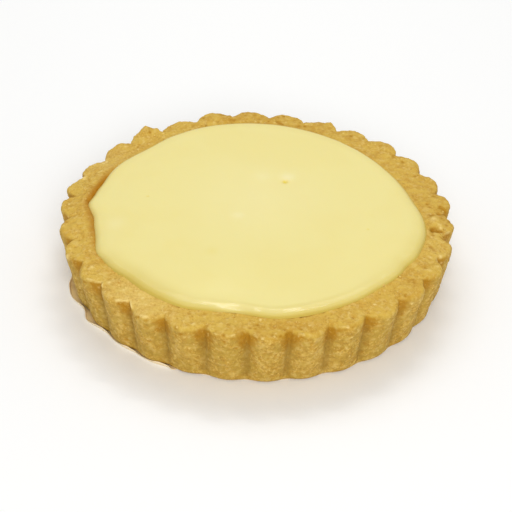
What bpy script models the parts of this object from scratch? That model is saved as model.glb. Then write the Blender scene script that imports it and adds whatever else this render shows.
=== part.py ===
# Lemon flan: a fluted shortcrust case filled with set lemon cream, on a round of baking paper.
# Metres, +Z up. The origin is in the middle of the underside, and the front faces -Y.

import math

import bmesh
import bpy
from mathutils import Vector, noise

MM = 0.001

# Sizes of the pastry case, heights counted from its foot
RIM_RADIUS = 100.0 * MM  # over the flute crests, at the rim
FOOT_RADIUS = 92.6 * MM  # over the flute crests, at the foot
CREST_HEIGHT = 30.6 * MM
LIP_HEIGHT = 32.2 * MM
BASE_THICKNESS = 6.0 * MM
LIP_ROUNDING = 1.4 * MM
EDGE_ROUNDING = 2.6 * MM
EDGE_START = 80  # degrees at which the crest's rounding leaves the rim's top
WALL_LEAN = -14  # degrees at which it runs into the leaning wall
FOOT_ROUNDING = 1.2 * MM
HOLLOW_DRAFT = 4.0 * MM  # how much narrower the hollow is at its floor
HOLLOW_CORNER = 4.0 * MM

# Flutes
FLUTES = 30
VALLEY_ANGLE = math.radians(-8.0)
RIM_FLUTE_DEPTH = 5.6 * MM
FOOT_FLUTE_DEPTH = 1.7 * MM
RIM_LOBE_POWER = 0.9  # power of the sine at the rim: the lower it is, the fatter the lobes
FOOT_LOBE_POWER = 1.2  # and at the foot
FLUTE_START = 86.0 * MM  # radius on the rim where the scallops begin to show
STEPS_PER_FLUTE = 8
# How far the flutes lie off their even places, as (angle, turn, spread)
FLUTE_TURNS = (
    (math.radians(90), math.radians(-0.8), math.radians(20)),
    (math.radians(150), math.radians(1.4), math.radians(13)),
    (math.radians(302), math.radians(-1.0), math.radians(12)),
)

# Lemon cream
CREAM_RADIUS = 82.2 * MM  # where it leaves the hollow, under its bulging edge
CREAM_HEIGHT = 34.9 * MM
CREAM_SPILL = 1.2 * MM  # how far the bulge leans out over the lip
CREAM_BELLY_HEIGHT = 33.0 * MM  # where it leans out most
CREAM_EDGE_WIDTH = 6.5 * MM  # how far in its top begins to round over
CREAM_LEAN = math.radians(20)  # how far round the lip's edge the bulge leans, short of its top
CREAM_DOME = 0.5 * MM
CREAM_DIP = 0.6  # how far its edge sinks where the lip swells, as a share of the swell
CREAM_LEVEL_RADIUS = 60.0 * MM  # inside this it doesn't sink
CREAM_TOP_SHARES = (0, 0.5, 0.8)  # of its radius, where the flat top has points
CREAM_HELD_LIFT = 1.0 * MM  # where the lip swells by this much, it holds the cream in
CREAM_STEPS = 180

# Baking paper
PAPER_RADIUS = 90.2 * MM  # where the tart hides it
PAPER_SHOWN_RADIUS = 92.4 * MM  # at the lower left, where it sticks out in the valleys
PAPER_HINGE_RADIUS = 91.6 * MM  # where the edge that sticks out turns up
PAPER_ROUND_LOBES = 0.8 * MM  # how much further out it lies round the lobes
PAPER_TURN_UP = 0.9 * MM
PAPER_VALLEY_TURN_UP = 1.3 * MM  # how much higher it stands at the valleys
PAPER_VALLEY_SHIFT = math.radians(2.5)  # it stands highest this much before each valley
PAPER_TURN_POWER = 1.5  # over 1, so that it turns up more and more towards its edge
# Corners where it spreads out flat, as (angle, distance, spread)
PAPER_CORNERS = (
    (math.radians(196.5), 3.7 * MM, math.radians(4.2)),
    (math.radians(210.8), 2.5 * MM, math.radians(2.6)),
)
PAPER_SHOWN_FROM = math.radians(160)
PAPER_SHOWN_TO = math.radians(248)
PAPER_EASE = math.radians(22)  # the turn over which it comes out from under the tart
PAPER_TORN = math.radians(3)  # the turn over which its torn end goes back
PAPER_THICKNESS = 0.3 * MM
PAPER_STEPS_PER_FLUTE = 5

GAP = 0.3 * MM  # between touching pieces
LIP_RADIUS = CREAM_RADIUS + GAP
FOOT_LEVEL = PAPER_THICKNESS + GAP

# The heights between which the rim's unevenness comes in
UNEVEN_FROM = 8.0 * MM
UNEVEN_FULL = 28.6 * MM

# The cream's outline: waves as (number round the tart, height, angle)
OUTLINE_WAVES = (
    (1, 1.8 * MM, math.radians(-136)),
    (2, 2.3 * MM, math.radians(-143)),
    (3, 1.1 * MM, math.radians(-22)),
    (4, 0.75 * MM, math.radians(-61)),
    (5, 0.7 * MM, math.radians(-30)),
    (6, 0.55 * MM, math.radians(-118)),
)
# Its local swells, as (angle, height, spread): two corners at the left with a bay between them,
# then flatter and fuller stretches
OUTLINE_SWELLS = (
    (math.radians(175.5), 4.4 * MM, math.radians(4.5)),
    (math.radians(190), 1.4 * MM, math.radians(6)),
    (math.radians(206), 4.3 * MM, math.radians(6)),
    (math.radians(137), -3.4 * MM, math.radians(9)),
    (math.radians(225), -1.5 * MM, math.radians(4.5)),
    (math.radians(264), -5.0 * MM, math.radians(7)),
    (math.radians(309), 0.9 * MM, math.radians(6)),
)

# Swells of the rim's height, as (angle, height, spread)
LIP_SWELLS = ((math.radians(179), 1.9 * MM, math.radians(19)),)
CREST_SWELLS = (
    (math.radians(50), 0.6 * MM, math.radians(14)),
    (math.radians(98), 2.5 * MM, math.radians(13)),
    (math.radians(118), -0.8 * MM, math.radians(4)),
    (math.radians(130), 1.3 * MM, math.radians(4)),
    (math.radians(153), -0.9 * MM, math.radians(8)),
    (math.radians(185), 0.9 * MM, math.radians(30)),
    (math.radians(270), 0.7 * MM, math.radians(40)),
)
# How far the flute crests stand out or lie back, as (angle, distance, spread)
CREST_REACH = (
    (math.radians(50), 0.7 * MM, math.radians(13)),
    (math.radians(105), 1.0 * MM, math.radians(8)),
    (math.radians(154), -0.7 * MM, math.radians(4)),
    (math.radians(188), -1.1 * MM, math.radians(12)),
    (math.radians(345), -1.0 * MM, math.radians(14)),
    (math.radians(357), -1.0 * MM, math.radians(6)),
)
# Broken crumbs, lumps and pits on the rim, as (angle, radius, height, spread)
RIM_LUMPS = (
    (math.radians(129.2), 97.5 * MM, 4.1 * MM, 2.1 * MM),
    (math.radians(126.2), 97.5 * MM, 1.7 * MM, 2.0 * MM),
    (math.radians(67.0), 98.5 * MM, 1.9 * MM, 1.8 * MM),
    (math.radians(359.5), 88.5 * MM, 1.3 * MM, 2.6 * MM),
    (math.radians(354.5), 89.0 * MM, -1.2 * MM, 1.7 * MM),
)
LUMPS_FROM = 24.0 * MM  # nothing below this height has them
CREST_UNEVEN = 0.45 * MM  # how unevenly high the flute crests are
CREST_UNEVEN_STEP = 2.1  # turn of its wave, in radians, from one flute to the next
RELIEF_HEIGHT = 0.45 * MM
RELIEF_SIZE = 7.0 * MM
RELIEF_MARGIN = 1.5 * MM  # beside the lip, the rim stays smooth
RELIEF_EASE = 4.0 * MM


def smooth(x):
    x = min(max(x, 0.0), 1.0)
    return x * x * (3 - 2 * x)


def turn_between(a, b):
    return math.remainder(a - b, 2 * math.pi)


def swell(angle, centre, height, spread):
    return height * math.exp(-0.5 * (turn_between(angle, centre) / spread) ** 2)


def outline_shift(angle):
    """How far the cream's edge lies outside a circle of CREAM_RADIUS."""
    waves = sum(height * math.cos(count * angle - phase) for count, height, phase in OUTLINE_WAVES)
    return waves + sum(swell(angle, *item) for item in OUTLINE_SWELLS)


def follow_outline(radius, angle):
    """Moves a radius out with the cream's outline: all of it at the lip, none on the wall."""
    inside = min(radius / LIP_RADIUS, 1)
    outside = smooth((FOOT_RADIUS - radius) / (FOOT_RADIUS - LIP_RADIUS))
    return radius + outline_shift(angle) * inside * outside


def lip_lift(angle):
    return sum(swell(angle, *item) for item in LIP_SWELLS)


def flute_turn(angle):
    return sum(swell(angle, *item) for item in FLUTE_TURNS)


def crest_lift(angle, turned):
    """The swells go by a point's own place, the uneven flutes by their even places."""
    flute = math.floor((angle - VALLEY_ANGLE) * FLUTES / (2 * math.pi)) % FLUTES
    uneven = CREST_UNEVEN * math.sin(CREST_UNEVEN_STEP * flute) * lobe(angle, 1)
    return sum(swell(turned, *item) for item in CREST_SWELLS) + uneven


def crest_reach(angle):
    return sum(swell(angle, *item) for item in CREST_REACH)


def lobe(angle, up):
    """0 in a flute's valley, 1 on its crest, where up is the share of the wall's height."""
    power = FOOT_LOBE_POWER + (RIM_LOBE_POWER - FOOT_LOBE_POWER) * up
    return abs(math.sin((angle - VALLEY_ANGLE) * FLUTES / 2)) ** power


def unevenness(height):
    """0 down in the hollow and at the foot, 1 at the rim."""
    return smooth((height - UNEVEN_FROM) / (UNEVEN_FULL - UNEVEN_FROM))


def lumps(x, y):
    """Height of the rim's broken crumbs at a point."""
    total = 0.0
    for angle, radius, height, spread in RIM_LUMPS:
        away = math.hypot(x - radius * math.cos(angle), y - radius * math.sin(angle))
        total += height * math.exp(-0.5 * (away / spread) ** 2)
    return total


def arc(centre_r, centre_z, radius, start, end, steps):
    """Profile points along an arc, its angles in degrees, both ends included."""
    angles = [math.radians(start + (end - start) * k / steps) for k in range(steps + 1)]
    return [(centre_r + radius * math.cos(a), centre_z + radius * math.sin(a)) for a in angles]


def line(start, end, steps):
    """Points inside a straight run, without its two ends."""
    return [
        tuple(a + (b - a) * k / steps for a, b in zip(start, end)) for k in range(1, steps)
    ]


def turned_mesh(name, profile, steps, first_angle):
    """Turns a profile, given from the top of its outer side to the bottom, about the Z axis."""
    outline = bpy.data.meshes.new(name + "_profile")
    points = [(r * math.cos(first_angle), r * math.sin(first_angle), z) for r, z in profile]
    outline.from_pydata(points, [(k, k + 1) for k in range(len(points) - 1)], [])
    guide = bpy.data.objects.new(name + "_profile", outline)
    bpy.context.scene.collection.objects.link(guide)
    screw = guide.modifiers.new("Turn", "SCREW")
    screw.axis = "Z"
    screw.angle = 2 * math.pi
    screw.steps = steps
    screw.render_steps = steps
    screw.use_merge_vertices = True
    screw.merge_threshold = 0.01 * MM
    evaluated = guide.evaluated_get(bpy.context.evaluated_depsgraph_get())
    mesh = bpy.data.meshes.new_from_object(evaluated)
    mesh.name = name
    bpy.data.objects.remove(guide)
    return mesh


def shape_mesh(mesh, move):
    """Moves each vertex: move takes its radius, height and angle, and gives the new ones."""
    for vertex in mesh.vertices:
        x, y, z = vertex.co
        radius, height, angle = move(math.hypot(x, y), z, math.atan2(y, x))
        vertex.co = (radius * math.cos(angle), radius * math.sin(angle), height)


def add_part(name, mesh, material, collection, sharp_angle):
    mesh.materials.clear()
    mesh.materials.append(material)
    mesh.shade_smooth()
    mesh.set_sharp_from_angle(angle=math.radians(sharp_angle))
    part = bpy.data.objects.new(name, mesh)
    collection.objects.link(part)
    return part


def new_material(name, colour, roughness):
    material = bpy.data.materials.new(name)
    material.use_nodes = True
    shader = material.node_tree.nodes["Principled BSDF"]
    shader.inputs["Base Color"].default_value = (*colour, 1)
    shader.inputs["Roughness"].default_value = roughness
    shader.inputs["Metallic"].default_value = 0.0
    return material


# The pastry case


def crust_profile():
    """From the middle of the hollow's floor, over the rim, down the wall to the middle of the foot."""
    floor_radius = LIP_RADIUS - HOLLOW_DRAFT
    corner = arc(
        floor_radius - HOLLOW_CORNER, BASE_THICKNESS + HOLLOW_CORNER, HOLLOW_CORNER, -90, 0, 1
    )
    lip = arc(LIP_RADIUS + LIP_ROUNDING, LIP_HEIGHT - LIP_ROUNDING, LIP_ROUNDING, 180, 90, 2)
    edge = arc(
        RIM_RADIUS - EDGE_ROUNDING,
        CREST_HEIGHT - EDGE_ROUNDING,
        EDGE_ROUNDING,
        EDGE_START,
        WALL_LEAN,
        3,
    )
    foot = arc(FOOT_RADIUS - FOOT_ROUNDING, FOOT_ROUNDING, FOOT_ROUNDING, WALL_LEAN, -90, 1)
    return (
        [(0, BASE_THICKNESS)]
        + corner
        + lip
        + line(lip[-1], edge[0], 4)
        + edge
        + line(edge[-1], foot[0], 4)
        + foot
        + [(0, 0)]
    )


def crust_point(radius, height, angle):
    # flutes, deeper towards the rim, unevenly spaced, with crests that stand out unevenly
    up = height / CREST_HEIGHT
    depth = FOOT_FLUTE_DEPTH + (RIM_FLUTE_DEPTH - FOOT_FLUTE_DEPTH) * up
    wall_radius = FOOT_RADIUS + (RIM_RADIUS - FOOT_RADIUS) * up
    outer = smooth((radius - FLUTE_START) / (wall_radius - FLUTE_START))
    turned = angle + flute_turn(angle) * outer
    moved = follow_outline(radius, turned)
    moved += (crest_reach(turned) * up - depth * (1 - lobe(angle, up))) * outer

    # the rim's uneven height
    across = smooth((radius - LIP_RADIUS) / (RIM_RADIUS - LIP_RADIUS - EDGE_ROUNDING))
    lift = lip_lift(turned) * (1 - across) + crest_lift(angle, turned) * across

    # baked relief on the rim and the wall, faded out at the lip and the foot
    spot = Vector((moved * math.cos(turned), moved * math.sin(turned), height))
    relief = RELIEF_HEIGHT * noise.noise(spot / RELIEF_SIZE)
    raised = lumps(spot.x, spot.y) if height > LUMPS_FROM else 0.0
    rim = smooth((radius - LIP_RADIUS - RELIEF_MARGIN) / RELIEF_EASE)
    moved += relief * outer * smooth(height / UNEVEN_FROM)
    level = height + (lift + (relief + raised) * rim) * unevenness(height) + FOOT_LEVEL
    return moved, level, turned


# The lemon cream


def cream_profile():
    """From the middle of the cream's top, over its rounded edge and down to the hollow's floor."""
    floor_level = BASE_THICKNESS + GAP
    floor_radius = CREAM_RADIUS - HOLLOW_DRAFT
    belly_radius = CREAM_RADIUS + CREAM_SPILL
    over = arc(0, 0, 1, 90, 0, 4)
    belly_drop = CREAM_HEIGHT - CREAM_BELLY_HEIGHT
    bulge = [
        (belly_radius - CREAM_EDGE_WIDTH * (1 - out), CREAM_BELLY_HEIGHT + belly_drop * rise)
        for out, rise in over
    ]
    under = arc(
        LIP_RADIUS + LIP_ROUNDING,
        LIP_HEIGHT - LIP_ROUNDING,
        LIP_ROUNDING + GAP,
        90 + math.degrees(CREAM_LEAN),
        180,
        2,
    )
    corner = arc(
        floor_radius - HOLLOW_CORNER, floor_level + HOLLOW_CORNER, HOLLOW_CORNER, 0, -90, 1
    )
    top = [(share * CREAM_RADIUS, CREAM_HEIGHT) for share in CREAM_TOP_SHARES]
    return top + bulge + under + corner + [(0, floor_level)]


def cream_point(radius, height, angle):
    near_edge = smooth((radius - CREAM_LEVEL_RADIUS) / (CREAM_RADIUS - CREAM_LEVEL_RADIUS))

    # where the lip swells up, the cream's edge lies lower, in a narrower part of the hollow
    lift = lip_lift(angle)
    edge = near_edge * unevenness(height)
    sunk = CREAM_DIP * lift * edge
    narrower = (1 + CREAM_DIP) * lift * edge * HOLLOW_DRAFT / (LIP_HEIGHT - BASE_THICKNESS)
    over = smooth((height - LIP_HEIGHT + LIP_ROUNDING) / LIP_ROUNDING)
    held = CREAM_SPILL * min(lift / CREAM_HELD_LIFT, 1) ** 0.5 * over * near_edge

    top = smooth((height - LIP_HEIGHT) / (CREAM_HEIGHT - LIP_HEIGHT))
    dome = CREAM_DOME * (1 - min(radius / CREAM_RADIUS, 1) ** 2) * top
    moved = follow_outline(radius - narrower - held, angle)
    return moved, height - sunk + dome + FOOT_LEVEL, angle


# The baking paper under the tart


def paper_reach(angle):
    """How far the paper shows past the foot: 0 where the tart hides it, 1 at the lower left."""
    start = smooth(turn_between(angle, PAPER_SHOWN_FROM) / PAPER_EASE)
    end = smooth(turn_between(PAPER_SHOWN_TO, angle) / PAPER_TORN)
    return start * end


def paper_point(radius, height, angle):
    out = max(radius - PAPER_HINGE_RADIUS, 0) / (PAPER_SHOWN_RADIUS - PAPER_HINGE_RADIUS)
    shows = paper_reach(angle)
    tucked = (1 - shows) * (1 - PAPER_RADIUS / PAPER_SHOWN_RADIUS)
    spread = PAPER_ROUND_LOBES * lobe(angle, 0) + sum(swell(angle, *item) for item in PAPER_CORNERS)
    moved = radius * (1 - tucked) + spread * shows * min(radius / PAPER_HINGE_RADIUS, 1)
    stands = PAPER_TURN_UP + PAPER_VALLEY_TURN_UP * (1 - lobe(angle + PAPER_VALLEY_SHIFT, 0))
    return moved, height + stands * max(2 * shows - 1, 0) * out**PAPER_TURN_POWER, angle


def paper_mesh(first_angle):
    middle = 0.5 * (PAPER_HINGE_RADIUS + PAPER_SHOWN_RADIUS)
    profile = [(radius, 0) for radius in (0, PAPER_HINGE_RADIUS, middle, PAPER_SHOWN_RADIUS)]
    mesh = turned_mesh("baking_paper", profile, FLUTES * PAPER_STEPS_PER_FLUTE, first_angle)
    shape_mesh(mesh, paper_point)
    # both faces of the thin sheet are split into triangles alike
    sheet = bmesh.new()
    sheet.from_mesh(mesh)
    bmesh.ops.triangulate(sheet, faces=sheet.faces)
    sheet.to_mesh(mesh)
    sheet.free()
    return mesh


def main():
    for item in list(bpy.data.objects):
        bpy.data.objects.remove(item)
    collection = bpy.data.collections.new("lemon_flan")
    bpy.context.scene.collection.children.link(collection)

    pastry = new_material("baked_pastry", (0.60, 0.37, 0.08), 0.7)
    cream = new_material("lemon_cream", (0.89, 0.78, 0.36), 0.28)
    paper = new_material("baking_paper", (0.81, 0.70, 0.58), 0.6)

    # the turning starts in a flute's valley, so that each valley has points of its own
    crust = turned_mesh("crust", crust_profile(), FLUTES * STEPS_PER_FLUTE, VALLEY_ANGLE)
    shape_mesh(crust, crust_point)
    add_part("crust", crust, pastry, collection, 40)

    filling = turned_mesh("lemon_filling", cream_profile(), CREAM_STEPS, VALLEY_ANGLE)
    shape_mesh(filling, cream_point)
    add_part("lemon_filling", filling, cream, collection, 50)

    sheet = add_part("baking_paper", paper_mesh(VALLEY_ANGLE), paper, collection, 50)
    solid = sheet.modifiers.new("Thickness", "SOLIDIFY")
    solid.thickness = PAPER_THICKNESS
    solid.offset = 1.0
    solid.use_even_offset = False


main()
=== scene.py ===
import math
import random

import bmesh
import bpy
from mathutils import Matrix, Vector, noise
from mathutils.kdtree import KDTree


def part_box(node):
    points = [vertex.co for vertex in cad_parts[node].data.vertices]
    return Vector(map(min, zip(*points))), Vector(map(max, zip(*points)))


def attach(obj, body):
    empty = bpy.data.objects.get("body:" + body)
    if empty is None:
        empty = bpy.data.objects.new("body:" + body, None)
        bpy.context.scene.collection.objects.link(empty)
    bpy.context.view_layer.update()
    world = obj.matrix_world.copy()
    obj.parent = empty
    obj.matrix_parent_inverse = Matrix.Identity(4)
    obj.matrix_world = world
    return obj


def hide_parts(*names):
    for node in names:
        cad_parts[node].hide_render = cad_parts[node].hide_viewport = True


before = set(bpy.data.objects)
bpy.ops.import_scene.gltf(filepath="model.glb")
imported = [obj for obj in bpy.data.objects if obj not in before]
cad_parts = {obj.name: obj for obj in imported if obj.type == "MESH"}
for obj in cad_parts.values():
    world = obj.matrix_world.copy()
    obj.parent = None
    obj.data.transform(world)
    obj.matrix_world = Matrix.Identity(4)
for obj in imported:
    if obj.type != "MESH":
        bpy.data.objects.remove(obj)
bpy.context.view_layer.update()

bpy.ops.object.select_all(action="DESELECT")
print("frame loaded:", ", ".join(sorted(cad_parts)))

mm = 0.001
degree = math.radians(1)
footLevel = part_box("crust")[0].z  # the paper lies under the case's foot


# Camera, at the photo's viewing angle

view = {
    "elevation": 35.532 * degree,
    "roll": 1.6644 * degree,
    "distance": 824.4 * mm,
    "aim": Vector((-0.2 * mm, 8.43 * mm, footLevel)),
    "focalPixels": 1600,
    "imagePixels": 512,
    "sensor": 36,
}


def addCamera():
    forward = Vector((0, math.cos(view["elevation"]), -math.sin(view["elevation"])))
    upward = Vector((0, math.sin(view["elevation"]), math.cos(view["elevation"])))
    sideways = Vector((1, 0, 0))
    bpy.ops.object.camera_add()
    camera = bpy.context.object
    camera.name = "photoCamera"
    camera.data.sensor_width = view["sensor"]
    camera.data.lens = view["focalPixels"] * view["sensor"] / view["imagePixels"]
    camera.data.clip_end = 20
    turn = Matrix((sideways, upward, -forward)).transposed().to_4x4()
    place = Matrix.Translation(view["aim"] - forward * view["distance"])
    camera.matrix_world = place @ turn @ Matrix.Rotation(view["roll"], 4, "Z")
    bpy.context.scene.camera = camera
    camera.select_set(False)


# Soft studio light and a pale floor

studio = {
    "worldStrength": 0.5,
    "keyPlace": Vector((-0.05, 0.55, 0.95)),
    "keySize": (0.9, 0.5),
    "keyPower": 3.2,
    "fillPlace": Vector((0.12, -1.25, 0.85)),
    "fillSize": (0.7, 0.7),
    "fillPower": 11.0,
    "stripPlace": Vector((0.09, 0.55, 0.95)),
    "stripSize": (0.36, 0.08),
    "stripPower": 0.95,
    "floorSize": 12,
    "floorDrop": 0.1 * mm,
    "floorColour": (0.98, 0.98, 0.97, 1),
    "floorRoughness": 0.8,
}


def addAreaLight(name, place, size, power, glossy=True):
    bpy.ops.object.light_add(type="AREA", location=place)
    lamp = bpy.context.object
    lamp.name = name
    lamp.data.shape = "RECTANGLE"
    lamp.data.size, lamp.data.size_y = size
    lamp.data.energy = power
    lamp.visible_glossy = glossy
    lamp.rotation_euler = (-place).to_track_quat("-Z", "Y").to_euler()
    lamp.select_set(False)


def addStudio():
    world = bpy.data.worlds.new("softWhite")
    world.use_nodes = True
    sky = world.node_tree.nodes["Background"]
    sky.inputs["Color"].default_value = (1, 1, 1, 1)
    sky.inputs["Strength"].default_value = studio["worldStrength"]
    bpy.context.scene.world = world
    bpy.context.scene.view_settings.view_transform = "Standard"
    addAreaLight("keyLight", studio["keyPlace"], studio["keySize"], studio["keyPower"])
    addAreaLight("fillLight", studio["fillPlace"], studio["fillSize"], studio["fillPower"], glossy=False)
    addAreaLight("stripLight", studio["stripPlace"], studio["stripSize"], studio["stripPower"])
    bpy.ops.mesh.primitive_plane_add(size=studio["floorSize"], location=(0, 0, -studio["floorDrop"]))
    floor = bpy.context.object
    floor.name = "floor"
    paint = Finish("paleFloor")
    paint.set("Base Color", studio["floorColour"])
    paint.set("Roughness", studio["floorRoughness"])
    floor.data.materials.append(paint.material)
    floor.select_set(False)


# Materials: a wrapped socket adds its own Math nodes, and a finish holds one Principled shader


class Wire:
    def __init__(self, finish, socket):
        self.finish = finish
        self.socket = socket

    def maths(self, operation, first, second):
        return self.finish.add("ShaderNodeMath", {"operation": operation}, {0: first, 1: second})

    def __add__(self, other):
        return self.maths("ADD", self, other)

    def __sub__(self, other):
        return self.maths("SUBTRACT", self, other)

    def __mul__(self, other):
        return self.maths("MULTIPLY", self, other)

    def __rsub__(self, other):
        return self.maths("SUBTRACT", other, self)

    __radd__ = __add__
    __rmul__ = __mul__


class Finish:
    def __init__(self, name):
        self.material = bpy.data.materials.new(name)
        self.material.use_nodes = True
        self.tree = self.material.node_tree
        self.shader = self.tree.nodes["Principled BSDF"]

    def feed(self, socket, value):
        if isinstance(value, Wire):
            self.tree.links.new(value.socket, socket)
        else:
            socket.default_value = value

    def add(self, kind, settings, sockets, out=0):
        node = self.tree.nodes.new(kind)
        for name, value in settings.items():
            setattr(node, name, value)
        for key, value in sockets.items():
            self.feed(node.inputs[key], value)
        return Wire(self, node.outputs[out])

    def set(self, name, value):
        self.feed(self.shader.inputs[name], value)

    def noise(self, size, detail=3.0, roughness=0.55):  # size of its grains, in metres
        place = self.add("ShaderNodeTexCoord", {}, {}, out="Object")
        sockets = {"Vector": place, "Scale": 1 / size, "Detail": detail, "Roughness": roughness}
        return self.add("ShaderNodeTexNoise", {}, sockets)

    def between(self, value, low, high):  # 0 below low, 1 above high, eased
        sockets = {"Value": value, "From Min": low, "From Max": high}
        return self.add("ShaderNodeMapRange", {"interpolation_type": "SMOOTHSTEP"}, sockets)

    def blend(self, share, first, second):  # two colours
        return self.add("ShaderNodeMix", {"data_type": "RGBA"}, {0: share, 6: first, 7: second}, out=2)

    def channels(self, attribute):  # a vertex colour's three numbers
        colour = self.add("ShaderNodeAttribute", {"attribute_name": attribute}, {}, out="Color")
        return [self.add("ShaderNodeSeparateColor", {}, {0: colour}, out=k) for k in range(3)]


def colour(red, green, blue):  # screen values from 0 to 255, made linear
    def linear(x):
        x = x / 255
        return x / 12.92 if x <= 0.04045 else ((x + 0.055) / 1.055) ** 2.4

    return (linear(red), linear(green), linear(blue), 1)


pastryLook = {
    "golden": colour(214, 177, 76),
    "wall": colour(189, 154, 63),
    "amber": colour(197, 146, 50),
    # toasted: browning, and painted shade in pits, under the ledges and on the darker stretches of the rim
    "toastedAndShaded": colour(176, 124, 16),
    # groove: painted shade down the valleys' grooves
    "groove": colour(150, 116, 44),
    "strip": colour(176, 116, 4),
    "crumb": colour(236, 208, 128),
    "shade": colour(158, 120, 42),
    "straw": colour(206, 178, 92),
    "light": colour(230, 200, 108),
    "ledge": colour(242, 214, 134),
    "driftSize": 16 * mm,
    "blotchSize": 4.6 * mm,
    "crumbSize": 2.6 * mm,
    "grainSize": 1.2 * mm,
    "dustSize": 0.55 * mm,
    "bump": 0.5 * mm,
    "bumpStrength": 0.9,
    "roughness": 0.5,
    "roughnessDrift": 0.36,
    "shine": 0.2,
    # How strong each tint is, and the noise values between which it comes in
    "amberShare": 0.55,
    "amberBand": (0.40, 0.62),
    "strawShare": 0.25,
    "strawBand": (0.5, 0.66),
    "crumbShare": 0.3,
    "crumbBand": (0.5, 0.68),
    "hollowShare": 0.32,
    "hollowBand": (0.36, 0.5),
    "toastedAndShadedShare": 0.9,
    "grainShare": 0.36,
    "wallGrainShare": 0.16,  # added on the wall
    "coarseBand": (0.38, 0.6),
    "darkBand": (0.36, 0.47),
    "lightBand": (0.51, 0.66),
}


def pastryFinish():
    look = pastryLook
    finish = Finish("bakedPastry")
    toastedAndShaded, pale, wall = finish.channels("bakeLightAndShade")
    groove, strip, _ = finish.channels("shade")
    drift = finish.noise(look["driftSize"], detail=2.0)
    blotch = finish.noise(look["blotchSize"], detail=3.0, roughness=0.6)
    crumb = finish.noise(look["crumbSize"], detail=2.0, roughness=0.5)
    grain = finish.noise(look["grainSize"], detail=3.0, roughness=0.6)
    dust = finish.noise(look["dustSize"], detail=1.0)
    sand = grain * 0.7 + dust * 0.3

    # golden on the rim and duller on the wall, in patches
    body = finish.blend(wall, look["golden"], look["wall"])
    mottle = finish.between(blotch * 0.6 + drift * 0.4, *look["amberBand"])
    body = finish.blend(mottle * look["amberShare"], body, look["amber"])
    straw = finish.between(drift, *look["strawBand"]) * wall
    body = finish.blend(straw * look["strawShare"], body, look["straw"])
    lighter = finish.between(crumb, *look["crumbBand"])
    body = finish.blend(lighter * look["crumbShare"], body, look["crumb"])
    hollow = (1 - finish.between(crumb, *look["hollowBand"])) * wall
    body = finish.blend(hollow * look["hollowShare"], body, look["shade"])

    # browned places with painted shade, then dark and light grains that show less there
    brownedAndShaded = finish.between(toastedAndShaded + (blotch - 0.5) * 0.8 + (sand - 0.5) * 0.5, 0.1, 1.0)
    body = finish.blend(brownedAndShaded * look["toastedAndShadedShare"], body, look["toastedAndShaded"])
    coarse = finish.between(blotch, *look["coarseBand"])
    grains = (look["grainShare"] + wall * look["wallGrainShare"]) * (0.45 + coarse * 0.9)
    grains = grains * (1 - brownedAndShaded * 0.55)
    body = finish.blend((1 - finish.between(sand, *look["darkBand"])) * grains, body, look["shade"])
    body = finish.blend(finish.between(sand, *look["lightBand"]) * grains * 1.2, body, look["light"])

    # painted places: pale ledges, painted shade down the valleys' grooves, and the strip of the inner lip
    body = finish.blend(finish.between(pale + (sand - 0.5) * 0.6, 0.05, 0.95), body, look["ledge"])
    uneven = 0.7 + blotch * 0.6
    body = finish.blend(groove * uneven, body, look["groove"])
    body = finish.blend(strip * uneven, body, look["strip"])
    finish.set("Base Color", body)
    finish.set("Roughness", look["roughness"] + dust * look["roughnessDrift"])
    finish.set("Specular IOR Level", look["shine"])
    relief = {"Strength": look["bumpStrength"], "Distance": look["bump"], "Height": sand + crumb * 0.5}
    finish.set("Normal", finish.add("ShaderNodeBump", {}, relief))
    return finish.material


creamLook = {
    "top": colour(239, 226, 152),
    # side: painted shade on the rounded edge and along the contact with the lip
    "side": colour(210, 186, 88),
    "mottle": colour(238, 223, 146),
    "halo": colour(246, 236, 182),
    "pit": colour(232, 206, 74),
    "mottleSize": 40 * mm,
    "mottleShare": 0.5,
    "mottleBand": (0.42, 0.62),
    "roughness": 0.07,
    "roughnessDrift": 0.04,
    "roughnessSize": 14 * mm,
    "shine": 0.13,
    "milkiness": 0.15,
    "depth": 2 * mm,  # how far light goes in
    "depthTint": (1.0, 0.8, 0.35),
}


def creamFinish():
    look = creamLook
    finish = Finish("lemonCream")
    side, pit, halo = finish.channels("cream")
    mottle = finish.between(finish.noise(look["mottleSize"]), *look["mottleBand"])
    body = finish.blend(mottle * look["mottleShare"], look["top"], look["mottle"])
    body = finish.blend(halo, body, look["halo"])
    # painted shade on the rounded edge and along the contact with the lip
    body = finish.blend(side, body, look["side"])
    body = finish.blend(pit, body, look["pit"])
    finish.set("Base Color", body)
    drift = finish.noise(look["roughnessSize"], detail=2.0)
    finish.set("Roughness", look["roughness"] + drift * look["roughnessDrift"])
    finish.set("Specular IOR Level", look["shine"])
    finish.set("Subsurface Weight", look["milkiness"])
    finish.set("Subsurface Radius", look["depthTint"])
    finish.set("Subsurface Scale", look["depth"])
    return finish.material


paperLook = {
    "sheet": colour(246, 226, 188),
    "greasy": colour(230, 206, 162),
    "inside": colour(250, 222, 154),
    "stainSize": 6 * mm,
    "stainShare": 0.7,
    "stainBand": (0.45, 0.62),
    "roughness": 0.62,
    "stainGloss": 0.2,
}


def paperFinish():
    look = paperLook
    finish = Finish("bakingPaper")
    edge, _, _ = finish.channels("edge")
    stain = finish.between(finish.noise(look["stainSize"]), *look["stainBand"])
    sheet = finish.blend(stain * look["stainShare"], look["sheet"], look["greasy"])
    finish.set("Base Color", finish.blend(edge, look["inside"], sheet))
    finish.set("Roughness", look["roughness"] - stain * look["stainGloss"])
    return finish.material


# Modelling helpers


def edit(piece):
    bpy.context.view_layer.objects.active = piece
    piece.select_set(True)
    bpy.ops.object.mode_set(mode="EDIT")


def leave(piece):
    bpy.ops.object.mode_set(mode="OBJECT")
    piece.select_set(False)


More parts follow.
